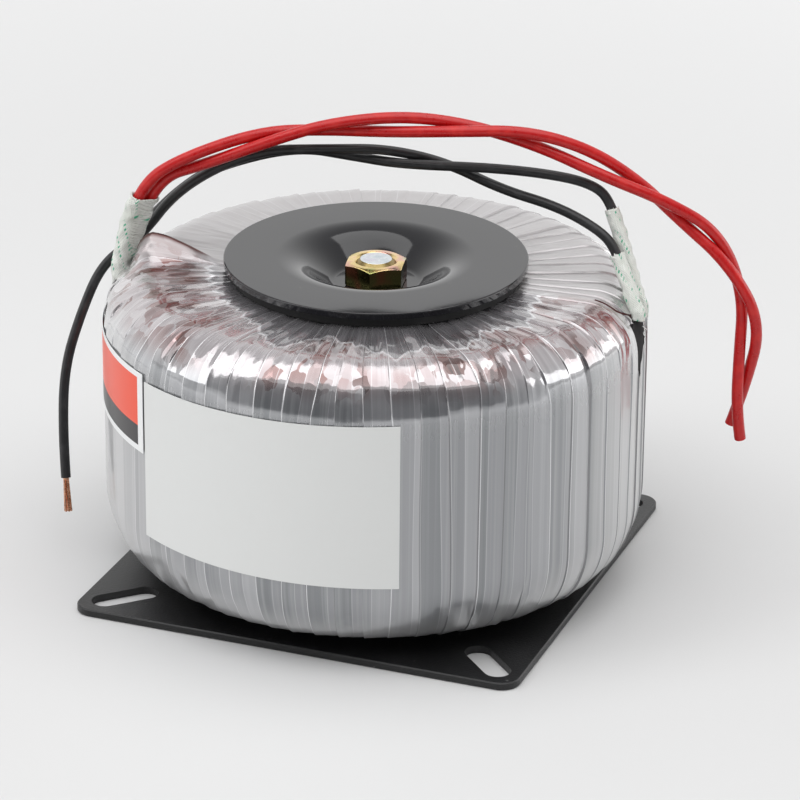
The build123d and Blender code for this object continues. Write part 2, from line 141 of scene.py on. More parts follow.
def wire_curve(name, route, radius, steps, round_steps):
    """A round wire, as a smooth curve through places in millimetres."""
    curve = bpy.data.curves.new(name, "CURVE")
    curve.dimensions = "3D"
    curve.resolution_u = steps
    curve.bevel_depth = radius
    curve.bevel_resolution = round_steps
    curve.use_fill_caps = True
    spline = curve.splines.new("NURBS")
    spline.points.add(len(route) - 1)
    for point, place in zip(spline.points, route):
        point.co = (*(c * MM for c in place), 1)
    spline.order_u = 3
    spline.use_endpoint_u = True
    return curve


# Shader helpers


class Shader:
    """The nodes of one material or group, with short ways to add and join them."""

    def __init__(self, tree):
        self.tree = tree
        self.nodes = tree.nodes

    def link(self, source, target):
        self.tree.links.new(source, target)

    def feed(self, socket, value):
        if isinstance(value, bpy.types.NodeSocket):
            self.link(value, socket)
        elif value is not None:
            socket.default_value = value

    def math(self, operation, *values):
        node = self.nodes.new("ShaderNodeMath")
        node.operation = operation
        for socket, value in zip(node.inputs, values):
            self.feed(socket, value)
        return node.outputs[0]

    def plus(self, first, second):
        return self.math("ADD", first, second)

    def minus(self, first, second):
        return self.math("SUBTRACT", first, second)

    def times(self, first, second):
        return self.math("MULTIPLY", first, second)

    def vector(self, operation, *values, scale=None):
        node = self.nodes.new("ShaderNodeVectorMath")
        node.operation = operation
        for socket, value in zip(node.inputs, values):
            self.feed(socket, value)
        if scale is not None:
            self.feed(node.inputs["Scale"], scale)
        return node.outputs[0]

    def mix(self, factor, first, second, blend="MIX"):
        node = self.nodes.new("ShaderNodeMix")
        node.data_type = "RGBA"
        node.blend_type = blend
        node.clamp_factor = True
        self.feed(node.inputs["Factor"], factor)
        self.feed(node.inputs["A"], first)
        self.feed(node.inputs["B"], second)
        return node.outputs["Result"]

    def ramp(self, factor, *stops):
        node = self.nodes.new("ShaderNodeValToRGB")
        elements = node.color_ramp.elements
        while len(elements) < len(stops):
            elements.new(0.5)
        for element, (place, colour) in zip(elements, stops):
            element.position = place
            element.color = colour if isinstance(colour, tuple) else (colour, colour, colour, 1)
        self.feed(node.inputs["Fac"], factor)
        return node.outputs["Color"]

    def span(self, value, low, high, first=0.0, last=1.0):
        node = self.nodes.new("ShaderNodeMapRange")
        node.interpolation_type = "SMOOTHSTEP"
        self.feed(node.inputs["Value"], value)
        for name, number in (("From Min", low), ("From Max", high), ("To Min", first), ("To Max", last)):
            self.feed(node.inputs[name], number)
        return node.outputs["Result"]

    def noise(self, vector, scale, detail=2.0, roughness=0.5, distortion=0.0):
        node = self.nodes.new("ShaderNodeTexNoise")
        self.feed(node.inputs["Vector"], vector)
        for name, number in (("Scale", scale), ("Detail", detail), ("Roughness", roughness),
                             ("Distortion", distortion)):
            self.feed(node.inputs[name], number)
        return node.outputs["Fac"]

    def random(self, value):
        node = self.nodes.new("ShaderNodeTexWhiteNoise")
        node.noise_dimensions = "1D"
        self.feed(node.inputs["W"], value)
        return node.outputs["Value"]

    def radius(self, x, y):
        return self.math("SQRT", self.plus(self.times(x, x), self.times(y, y)))

    def vector_length(self, value):
        node = self.nodes.new("ShaderNodeVectorMath")
        node.operation = "LENGTH"
        self.feed(node.inputs[0], value)
        return node.outputs["Value"]

    def split(self, vector):
        node = self.nodes.new("ShaderNodeSeparateXYZ")
        self.feed(node.inputs[0], vector)
        return node.outputs

    def join(self, x, y, z):
        node = self.nodes.new("ShaderNodeCombineXYZ")
        for socket, value in zip(node.inputs, (x, y, z)):
            self.feed(socket, value)
        return node.outputs[0]

    def place(self):
        return self.nodes.new("ShaderNodeTexCoord").outputs["Object"]

    def bump(self, height, strength, distance):
        node = self.nodes.new("ShaderNodeBump")
        node.inputs["Strength"].default_value = strength
        node.inputs["Distance"].default_value = distance
        self.feed(node.inputs["Height"], height)
        return node.outputs["Normal"]

    def group(self, group, **inputs):
        node = self.nodes.new("ShaderNodeGroup")
        node.node_tree = group
        for name, value in inputs.items():
            self.feed(node.inputs[name.replace("_", " ")], value)
        return node.outputs


def new_group(name, inputs, outputs):
    """An empty shader group with named inputs (name, default) and outputs (name, kind)."""
    tree = bpy.data.node_groups.new(name, "ShaderNodeTree")
    for label, default in inputs:
        socket = tree.interface.new_socket(name=label, in_out="INPUT", socket_type="NodeSocketFloat")
        socket.default_value = default
    for label, kind in outputs:
        tree.interface.new_socket(name=label, in_out="OUTPUT", socket_type=kind)
    shader = Shader(tree)
    return tree, shader, tree.nodes.new("NodeGroupInput").outputs, tree.nodes.new("NodeGroupOutput").inputs


def new_material(name, **sockets):
    """A material whose shader has these plain values. Gives the material, its nodes and the sockets."""
    material = bpy.data.materials.new(name)
    material.use_nodes = True
    shader = Shader(material.node_tree)
    principled = material.node_tree.nodes["Principled BSDF"]
    for label, value in sockets.items():
        principled.inputs[label.replace("_", " ")].default_value = value
    return material, shader, principled.inputs


def along_film_group():
    """Noise that runs with the film: so fine round the ring, and so fine along the turn."""
    group, s, given, out = new_group(
        "along_film", [("Round", 40.0), ("Along", 10.0), ("Detail", 2.0), ("Distortion", 0.0)],
        [("Value", "NodeSocketFloat")])
    x, y, z = s.split(s.place())[:3]
    reach = s.vector("NORMALIZE", s.join(x, y, 0.0))
    radius = s.radius(x, y)
    way = s.times(s.minus(z, radius), given["Along"])
    ring = s.vector("SCALE", reach, scale=given["Round"])
    place = s.vector("ADD", ring, s.join(0.0, 0.0, way))
    s.link(s.noise(place, 1.0, given["Detail"], 0.55, given["Distortion"]), out["Value"])
    return group


def dust_group():
    """Small pale specks and a faint haze, for painted and metal faces."""
    group, s, given, out = new_group("dust", [("Amount", 0.5), ("Speck Scale", 900.0)],
                                     [("Specks", "NodeSocketFloat"), ("Haze", "NodeSocketFloat")])
    place = s.place()
    voronoi = s.nodes.new("ShaderNodeTexVoronoi")
    s.feed(voronoi.inputs["Vector"], place)
    s.feed(voronoi.inputs["Scale"], given["Speck Scale"])
    keep = s.math("GREATER_THAN", s.split(voronoi.outputs["Color"])[0], 0.93)
    near = s.span(voronoi.outputs["Distance"], 0.22, 0.05)
    s.link(s.times(s.times(keep, near), given["Amount"]), out["Specks"])
    haze = s.span(s.noise(place, 55.0, 4.0, 0.65), 0.45, 0.8)
    s.link(s.times(haze, given["Amount"]), out["Haze"])
    return group


def unevenness_group():
    """Soft unevenness of a painted, plated or moulded face, as a height."""
    group, s, given, out = new_group("unevenness", [("Scale", 300.0), ("Fine Share", 0.3)],
                                     [("Height", "NodeSocketFloat")])
    place = s.place()
    broad = s.noise(place, given["Scale"], 2.0, 0.5)
    fine = s.noise(place, s.times(given["Scale"], 6.0), 2.0, 0.6)
    s.link(s.plus(broad, s.times(fine, given["Fine Share"])), out["Height"])
    return group


ALONG_FILM = along_film_group()
DUST = dust_group()
UNEVENNESS = unevenness_group()


# Materials


def film_material():
    """Clear film in overlapping turns: grey and mirror-like on the wall, wire showing through on top."""
    material, s, out = new_material("clear_film_wrap", IOR=1.5, Coat_IOR=1.7, Coat_Roughness=0.03)
    x, y, z = s.split(s.place())[:3]
    uv = s.nodes.new("ShaderNodeUVMap")
    uv.uv_map = "turns"
    turn, along = s.split(uv.outputs["UV"])[:2]
    number = s.math("FLOOR", turn)
    across = s.math("FRACT", turn)
    radius = s.radius(x, y)
    top = s.span(z, 0.0715, 0.0795)
    broad = s.group(ALONG_FILM, Round=3.5, Along=22.0)["Value"]
    fine = s.group(ALONG_FILM, Round=60.0, Along=3.0, Detail=3.0)["Value"]

    # The wall: one grey for each turn, a second one where the turn beneath ends, faint draw lines
    second = s.span(s.random(s.plus(number, 0.37)), 0.0, 1.0, 0.25, 0.8)
    past_second = s.math("GREATER_THAN", across, second)
    tone = s.plus(s.times(s.random(number), 0.65), s.times(past_second, 0.35))
    wall = s.ramp(tone, (0.0, (0.23, 0.24, 0.25, 1)), (0.5, (0.33, 0.335, 0.35, 1)),
                  (1.0, (0.45, 0.455, 0.47, 1)))
    wall = s.mix(s.span(fine, 0.4, 0.75, 0.0, 0.35), wall, (0.55, 0.56, 0.57, 1))

    # The top: angular glimpses of the wire, and the film's milky veil over them
    jolt = s.group(ALONG_FILM, Round=30.0, Along=160.0, Detail=1.0)["Value"]
    back = s.plus(s.times(x, PALE_SIDE[0]), s.times(y, PALE_SIDE[1]))
    pale = s.span(back, -0.009, -0.001)
    cells = s.nodes.new("ShaderNodeTexVoronoi")
    cell_across = s.plus(s.times(turn, 2.2), s.times(jolt, 1.6))
    s.feed(cells.inputs["Vector"], s.join(cell_across, s.times(along, 0.21), 0.0))
    s.feed(cells.inputs["Scale"], 1.0)
    shade, part = s.split(cells.outputs["Color"])[:2]
    glimpse = s.ramp(shade, (0.0, (0.07, 0.022, 0.018, 1)), (0.22, (0.20, 0.09, 0.08, 1)),
                     (0.45, (0.32, 0.22, 0.22, 1)), (0.7, (0.40, 0.36, 0.37, 1)),
                     (1.0, (0.56, 0.53, 0.54, 1)))
    veil = s.mix(s.span(fine, 0.3, 0.7), (0.39, 0.355, 0.365, 1), (0.50, 0.475, 0.485, 1))
    clear = s.times(s.span(broad, 0.40, 0.52), s.span(radius, 0.042, 0.048))
    clear = s.times(clear, s.minus(1.0, s.times(pale, 0.85)))
    upper = s.mix(s.times(clear, s.span(part, 0.0, 1.0, 0.6, 1.0)), veil, glimpse)

    # The ragged edge of the tape beneath, a few millimetres outside the rubber pad
    bearing = s.times(s.math("ARCTAN2", y, x), 180 / math.pi)
    reach = s.ramp(s.math("DIVIDE", s.plus(bearing, 180.0), 180.0),
                   *(((at + 180) / 180, edge / 100) for at, edge in TAPE_EDGE))
    teeth = s.math("PINGPONG", s.plus(turn, s.times(jolt, 0.3)), 0.5)
    ragged = s.times(teeth, 0.0050)
    past_tape = s.minus(radius, s.plus(ragged, s.times(reach, 0.1)))
    shown = s.minus(1.0, pale)
    under_tape = s.times(s.math("LESS_THAN", past_tape, 0.0), s.times(shown, 0.7))
    upper = s.mix(under_tape, upper, (0.16, 0.16, 0.175, 1))
    tape_line = s.times(s.span(s.math("ABSOLUTE", past_tape), 0.0008, 0.0004), shown)
    upper = s.mix(s.times(tape_line, 0.85), upper, (0.74, 0.74, 0.76, 1))
    # The top on that far side is painted pale: a painted reflection of the bright surroundings.
    upper = s.mix(s.times(pale, 0.7), upper, (0.50, 0.49, 0.49, 1))
    # The wall is painted lighter where it is seen at a grazing angle: a painted sheen.
    painted_sheen_facing = s.nodes.new("ShaderNodeLayerWeight").outputs["Facing"]
    wall = s.mix(s.span(painted_sheen_facing, 0.30, 0.75, 0.0, 0.6), wall, (0.78, 0.78, 0.78, 1))
    colour = s.mix(top, wall, upper)

    # The edges of the turns: a thin painted highlight along the raised edge of each turn, painted shade at
    # the foot of some turns beside it, under the next turn's edge, and a faint light line where the turn
    # beneath ends
    edge_highlight_share = s.span(s.random(s.plus(number, 0.61)), 0.15, 0.5)
    light = s.times(s.span(across, 0.040, 0.015), edge_highlight_share)
    calm = s.minus(1.0, s.times(s.times(pale, top), 0.75))
    light = s.times(light, calm)
    edge_shade_share = s.span(s.random(s.plus(number, 0.83)), 0.4, 0.6)
    dark = s.times(s.span(across, 0.955, 0.975), edge_shade_share)
    dark = s.times(dark, calm)
    inner = s.span(s.math("ABSOLUTE", s.minus(across, second)), 0.022, 0.006)
    colour = s.mix(s.times(light, 0.85), colour, (0.86, 0.86, 0.88, 1))
    colour = s.mix(s.times(dark, 0.45), colour, (0.06, 0.055, 0.06, 1))
    colour = s.mix(s.times(inner, 0.35), colour, (0.75, 0.75, 0.77, 1))

    # The slit by the black leads' sleeves, painted near black as painted shade in the gap and dark red-brown
    # towards its top, and red-brown wire along the lifted film by the red ones
    gape, drift = [
        s.plus(*(s.span(z, low * MM, high * MM, 0.0, change) for low, high, change in changes))
        for changes in ((SLIT_OPENS, SLIT_CLOSES), SLIT_DRIFTS)]
    gape = s.times(gape, s.math("GREATER_THAN", radius, SLIT_INNER_R * MM))
    middle = s.plus(drift, SLIT_BEARING)
    slit = s.math("LESS_THAN", s.math("ABSOLUTE", s.minus(bearing, middle)), gape)
    slit_shade_colour = s.mix(s.span(z, 0.074, 0.078), (0.008, 0.007, 0.008, 1), (0.05, 0.005, 0.004, 1))
    colour = s.mix(slit, colour, slit_shade_colour)
    # The film raised above the top face beside the red leads' sleeve is painted darker and greyer: painted
    # shade.
    raised = s.span(z, 0.0818, 0.0835)
    colour = s.mix(s.times(raised, 0.6), colour, (0.24, 0.20, 0.20, 1))
    lifted = s.times(raised, s.span(bearing, TENT_BEARING + 1.4, TENT_BEARING + 0.4))
    colour = s.mix(lifted, colour, (0.09, 0.022, 0.018, 1))
    s.link(colour, out["Base Color"])
    whole = s.minus(1.0, slit)
    s.link(s.times(whole, 0.65), out["Metallic"])
    crown = s.times(s.span(z, 0.068, 0.072), s.span(z, 0.0805, 0.0790))
    matt = s.times(pale, s.span(z, 0.0790, 0.0805, 0.0, -0.6))
    gloss = s.plus(s.span(z, 0.064, 0.071, 0.45, 1.0), matt)
    s.link(s.times(whole, gloss), out["Coat Weight"])
    sheen = s.plus(s.span(fine, 0.3, 0.75, 0.22, 0.32), s.span(z, 0.070, 0.060, 0.0, 0.08))
    sheen = s.plus(sheen, s.times(s.times(pale, top), 0.12))
    sheen = s.minus(sheen, s.times(crown, 0.19))
    s.link(s.math("MAXIMUM", sheen, slit), out["Roughness"])
    waves = s.group(ALONG_FILM, Round=9.0, Along=45.0, Detail=1.5, Distortion=0.4)["Value"]
    height = s.times(waves, s.span(z, 0.074, 0.0805, 0.10, 1.0))
    s.link(s.bump(height, 0.5, 0.003), out["Normal"])
    return material


def paint_material(name, colour, roughness, coat, bump_scale, bump_strength, dust):
    """Black paint or powder coat, a little uneven, with specks of dust."""
    material, s, out = new_material(name, Coat_Weight=coat, Coat_Roughness=0.08, IOR=1.5)
    specks = s.group(DUST, Amount=dust, Speck_Scale=420.0)
    tinted = s.mix(specks["Haze"], colour, tuple(c + 0.02 for c in colour[:3]) + (1,))
    s.link(s.mix(specks["Specks"], tinted, (0.35, 0.35, 0.35, 1)), out["Base Color"])
    s.link(s.plus(s.times(specks["Haze"], 0.12), roughness), out["Roughness"])
    s.link(s.bump(s.group(UNEVENNESS, Scale=bump_scale)["Height"], bump_strength, 0.0002), out["Normal"])
    return material


def plated_material(name, stops, roughness, tint_scale):
    """Zinc plate whose tint shifts over the metal: gives the material, its nodes and the shader."""
    material, s, out = new_material(name, Metallic=1.0)
    s.link(s.ramp(s.noise(s.place(), tint_scale, 2.0, 0.5), *stops), out["Base Color"])
    scuffs = s.noise(s.place(), 1400.0, 3.0, 0.6)
    s.link(s.span(scuffs, 0.3, 0.75, roughness, roughness + 0.18), out["Roughness"])
    s.link(s.bump(s.group(UNEVENNESS, Scale=700.0)["Height"], 0.35, 0.0001), out["Normal"])
    return material, s, out


def nut_material(metal):
    """The nut's yellow zinc, darker on the side faces, which stand in the shade of the dish."""
    material, s, out = plated_material("yellow_zinc", metal, 0.12, 150.0)
    facing = s.split(s.nodes.new("ShaderNodeNewGeometry").outputs["Normal"])[2]
    side = s.span(s.math("ABSOLUTE", facing), 0.40, 0.15)
    patch = s.span(s.noise(s.place(), 110.0), 0.40, 0.60)
    shade = s.mix(patch, (0.13, 0.125, 0.045, 1), (0.24, 0.085, 0.045, 1))
    plain = out["Base Color"].links[0].from_socket
    s.link(s.mix(side, plain, shade), out["Base Color"])
    return material


def bolt_material(metal):
    """The bolt's zinc, with the turned-down start of its thread left dull."""
    material, s, out = plated_material("white_zinc", metal, 0.26, 260.0)
    x, y, z = s.split(s.place())[:3]
    radius = s.radius(x, y)
    thread = s.times(s.math("GREATER_THAN", radius, 0.00405), s.math("GREATER_THAN", z, 0.02))
    plain = out["Base Color"].links[0].from_socket
    s.link(s.mix(thread, plain, (0.30, 0.23, 0.10, 1)), out["Base Color"])
    return material


def rubber_material():
    """Black rubber sheet, matte and slightly dusty."""
    material, s, out = new_material("pad_rubber", Roughness=0.7)
    specks = s.group(DUST, Amount=0.6, Speck_Scale=1500.0)
    s.link(s.mix(specks["Haze"], (0.012, 0.012, 0.012, 1), (0.05, 0.05, 0.05, 1)), out["Base Color"])
    s.link(s.bump(s.group(UNEVENNESS, Scale=1500.0)["Height"], 0.4, 0.0002), out["Normal"])
    return material


def hidden_layer_material(name, first, second, metallic, round_scale):
    """A wound layer under the film: wire, tape or steel strip, with its turns as streaks."""
    material, s, out = new_material(name, Metallic=metallic, Roughness=0.4)
    streaks = s.group(ALONG_FILM, Round=round_scale, Along=6.0)["Value"]
    s.link(s.mix(s.span(streaks, 0.35, 0.65), first, second), out["Base Color"])
    s.link(s.bump(streaks, 0.4, 0.0004), out["Normal"])
    return material


def lead_material(name, colour, sheen_colour, roughness):
    """Insulation of a lead, with faint draw lines and handling marks."""
    material, s, out = new_material(name, Roughness=roughness, IOR=1.5)
    marks = s.noise(s.place(), 260.0, 3.0, 0.6)
    s.link(s.mix(s.span(marks, 0.45, 0.75), colour, sheen_colour), out["Base Color"])
    s.link(s.span(marks, 0.35, 0.7, roughness, roughness + 0.12), out["Roughness"])
    s.link(s.bump(s.group(UNEVENNESS, Scale=500.0)["Height"], 0.25, 0.0002), out["Normal"])
    return material


def copper_material():
    """Bright bare copper strands."""
    material, s, out = new_material("bare_copper", Metallic=1.0)
    shade = s.noise(s.place(), 900.0, 2.0, 0.5)
    s.link(s.mix(shade, (0.72, 0.30, 0.16, 1), (0.95, 0.58, 0.38, 1)), out["Base Color"])
    s.link(s.span(shade, 0.3, 0.7, 0.2, 0.35), out["Roughness"])
    return material


def sleeve_material():
    """Varnished glass braid: off-white threads, uneven, with broken green tracers."""
    material, s, out = new_material("glass_braid", Roughness=0.35, Coat_Weight=0.5, Coat_Roughness=0.15,
                                    Subsurface_Weight=0.2)
    out["Subsurface Radius"].default_value = (0.002, 0.002, 0.002)
    uv = s.nodes.new("ShaderNodeUVMap")
    uv.uv_map = "turns"
    around, along = s.split(uv.outputs["UV"])[:2]
    drift = s.noise(s.place(), 160.0, 2.0, 0.5)
    patchy = s.noise(s.place(), 420.0, 3.0, 0.6)
    around = s.plus(around, s.times(drift, 0.16))
    left = s.plus(s.times(around, 24.0), s.times(along, 1.25))
    right = s.minus(s.times(around, 24.0), s.times(along, 1.25))
    warp = s.math("SINE", s.times(left, math.pi))
    weft = s.math("SINE", s.times(right, math.pi))
    weave = s.math("MAXIMUM", s.math("ABSOLUTE", warp), s.math("ABSOLUTE", weft))
    # The weave's low spots, the holes between its threads where the bump is low, are painted darker: painted
    # shade.
    cloth = s.mix(weave, (0.60, 0.63, 0.58, 1), (0.83, 0.85, 0.80, 1))
    cloth = s.mix(s.span(drift, 0.5, 0.7, 0.0, 0.55), cloth, (0.66, 0.69, 0.62, 1))
    turns = s.plus(s.times(around, 4.0), s.times(along, 0.10))
    tracer = s.span(s.math("ABSOLUTE", s.minus(s.math("FRACT", turns), 0.5)), 0.13, 0.07)
    dashes = s.times(s.span(weft, -0.1, 0.5), s.span(patchy, 0.40, 0.56))
    s.link(s.mix(s.times(tracer, dashes), cloth, (0.03, 0.45, 0.24, 1)), out["Base Color"])
    height = s.plus(weave, s.times(patchy, 2.0))
    s.link(s.bump(height, 0.7, 0.0004), out["Normal"])
    return material


def paper_material(name, colour):
    """Plain coated paper."""
    material, s, out = new_material(name, Roughness=0.45, IOR=1.45)
    fibres = s.noise(s.place(), 500.0, 3.0, 0.6)
    s.link(s.mix(s.span(fibres, 0.3, 0.7, 0.0, 0.12), colour, (0.70, 0.70, 0.69, 1)), out["Base Color"])
    s.link(s.bump(fibres, 0.05, 0.0002), out["Normal"])
    return material


def side_label_material():
    """White-edged sticker: an orange-red field over a dark band, with nothing printed on them."""
    material, s, out = new_material("side_label_paper", Roughness=0.3, IOR=1.5)
    x, y, z = s.split(s.place())[:3]
    turned = s.math("ARCTAN2", s.times(y, -1.0), s.times(x, -1.0))
    bearing = s.times(turned, 180 / math.pi)
    inside = s.times(s.math("LESS_THAN", bearing, 8.2), s.math("GREATER_THAN", bearing, -32.5))
    red = s.times(s.math("GREATER_THAN", z, 0.0541), s.math("LESS_THAN", z, 0.0672))
    dark = s.times(s.math("GREATER_THAN", z, 0.0487), s.math("LESS_THAN", z, 0.0541))
    colour = s.mix(s.times(red, inside), (0.84, 0.85, 0.85, 1), (0.86, 0.085, 0.035, 1))
    colour = s.mix(s.times(dark, inside), colour, (0.030, 0.028, 0.030, 1))
    s.link(colour, out["Base Color"])
    s.link(s.bump(s.noise(s.place(), 300.0), 0.04, 0.0002), out["Normal"])
    return material


FILM = film_material()
PLATE_COAT = paint_material("plate_powder_coat", (0.008, 0.008, 0.0085, 1), 0.38, 0.0, 1600.0, 0.35, 0.35)
WASHER_PAINT = paint_material("washer_gloss_paint", (0.008, 0.008, 0.010, 1), 0.08, 0.15, 160.0, 0.04, 0.10)
YELLOW_ZINC = nut_material(
    [(0.30, (0.42, 0.44, 0.16, 1)), (0.42, (0.70, 0.55, 0.22, 1)), (0.52, (0.80, 0.60, 0.30, 1)),
     (0.62, (0.72, 0.42, 0.34, 1)), (0.74, (0.50, 0.58, 0.34, 1))])
WHITE_ZINC = bolt_material(
    [(0.3, (0.52, 0.58, 0.62, 1)), (0.5, (0.72, 0.76, 0.78, 1)), (0.7, (0.64, 0.62, 0.70, 1))])
RUBBER = rubber_material()
RED_PVC = lead_material("red_pvc", (0.47, 0.004, 0.005, 1), (0.57, 0.014, 0.011, 1), 0.26)
BLACK_PVC = lead_material("black_pvc", (0.014, 0.014, 0.015, 1), (0.028, 0.028, 0.030, 1), 0.36)
COPPER = copper_material()
BRAID = sleeve_material()
LABEL_PAPER = paper_material("rating_label_paper", (0.72, 0.73, 0.72, 1))
SIDE_LABEL = side_label_material()


def dress_cad_nodes():
    """Gives each CAD node that stays in view, or lies under the film, its own finish."""
    tape = hidden_layer_material("layer_film", (0.62, 0.56, 0.42, 1), (0.75, 0.70, 0.56, 1), 0.0, 60.0)
    wire = hidden_layer_material("enamelled_wire", (0.30, 0.07, 0.03, 1), (0.60, 0.22, 0.10, 1), 0.7, 260.0)
    steel = hidden_layer_material("steel_strip", (0.22, 0.23, 0.24, 1), (0.42, 0.43, 0.44, 1), 0.9, 30.0)
    finishes = {
        "base_plate": PLATE_COAT, "dished_washer": WASHER_PAINT, "clamp_nut": YELLOW_ZINC,
        "clamp_bolt": WHITE_ZINC, "upper_rubber_pad": RUBBER, "lower_rubber_pad": RUBBER, "core": steel,
        "core_insulation": tape, "winding_insulation": tape, "primary_winding": wire,
        "secondary_winding": wire, "rating_label": LABEL_PAPER, "side_label": SIDE_LABEL,
        "red_lead_1_conductor": COPPER, "red_lead_2_conductor": COPPER,
        "black_lead_1_conductor": COPPER, "black_lead_2_conductor": COPPER,
    }
    for name, finish in finishes.items():
        NODES[name].data.materials.clear()
        NODES[name].data.materials.append(finish)


# Film wrap


def ring_section():
    """The ring's section from the bore over the top, down the wall and back: radii, heights, path."""
    def arc(centre_r, centre_z, across, up, first, last, count):
        angles = np.radians(np.linspace(first, last, count, endpoint=False))
        return centre_r + across * np.cos(angles), centre_z + up * np.sin(angles)

    def run(r0, z0, r1, z1, count):
        share = np.linspace(0, 1, count, endpoint=False)
        return r0 + (r1 - r0) * share, z0 + (z1 - z0) * share

    throat_r = BORE_R + THROAT
    pieces = [
        run(BORE_R, BODY_LOW + THROAT, BORE_R, BODY_HIGH - THROAT, 4),
        arc(throat_r, BODY_HIGH - THROAT, THROAT, THROAT, 180, 90, 6),
        run(throat_r, BODY_HIGH, RIM_R - CROWN[0], BODY_HIGH, 26),
        arc(RIM_R - CROWN[0], BODY_HIGH - CROWN[1], CROWN[0], CROWN[1], 90, 0, 24),
        run(RIM_R, BODY_HIGH - CROWN[1], RIM_R, BODY_LOW + SKIRT[1], 12),
        arc(RIM_R - SKIRT[0], BODY_LOW + SKIRT[1], SKIRT[0], SKIRT[1], 0, -90, 20),
        run(RIM_R - SKIRT[0], BODY_LOW, throat_r, BODY_LOW, 4),
        arc(throat_r, BODY_LOW + THROAT, THROAT, THROAT, 270, 180, 3),
    ]
    r = np.concatenate([p[0] for p in pieces])
    z = np.concatenate([p[1] for p in pieces])
    step = np.hypot(np.diff(r, append=r[:1]), np.diff(z, append=z[:1]))
    path = np.concatenate([[0], np.cumsum(step)])
    dr = np.roll(r, -1) - np.roll(r, 1)
    dz = np.roll(z, -1) - np.roll(z, 1)
    length = np.hypot(dr, dz)
    return r, z, -dz / length, dr / length, path


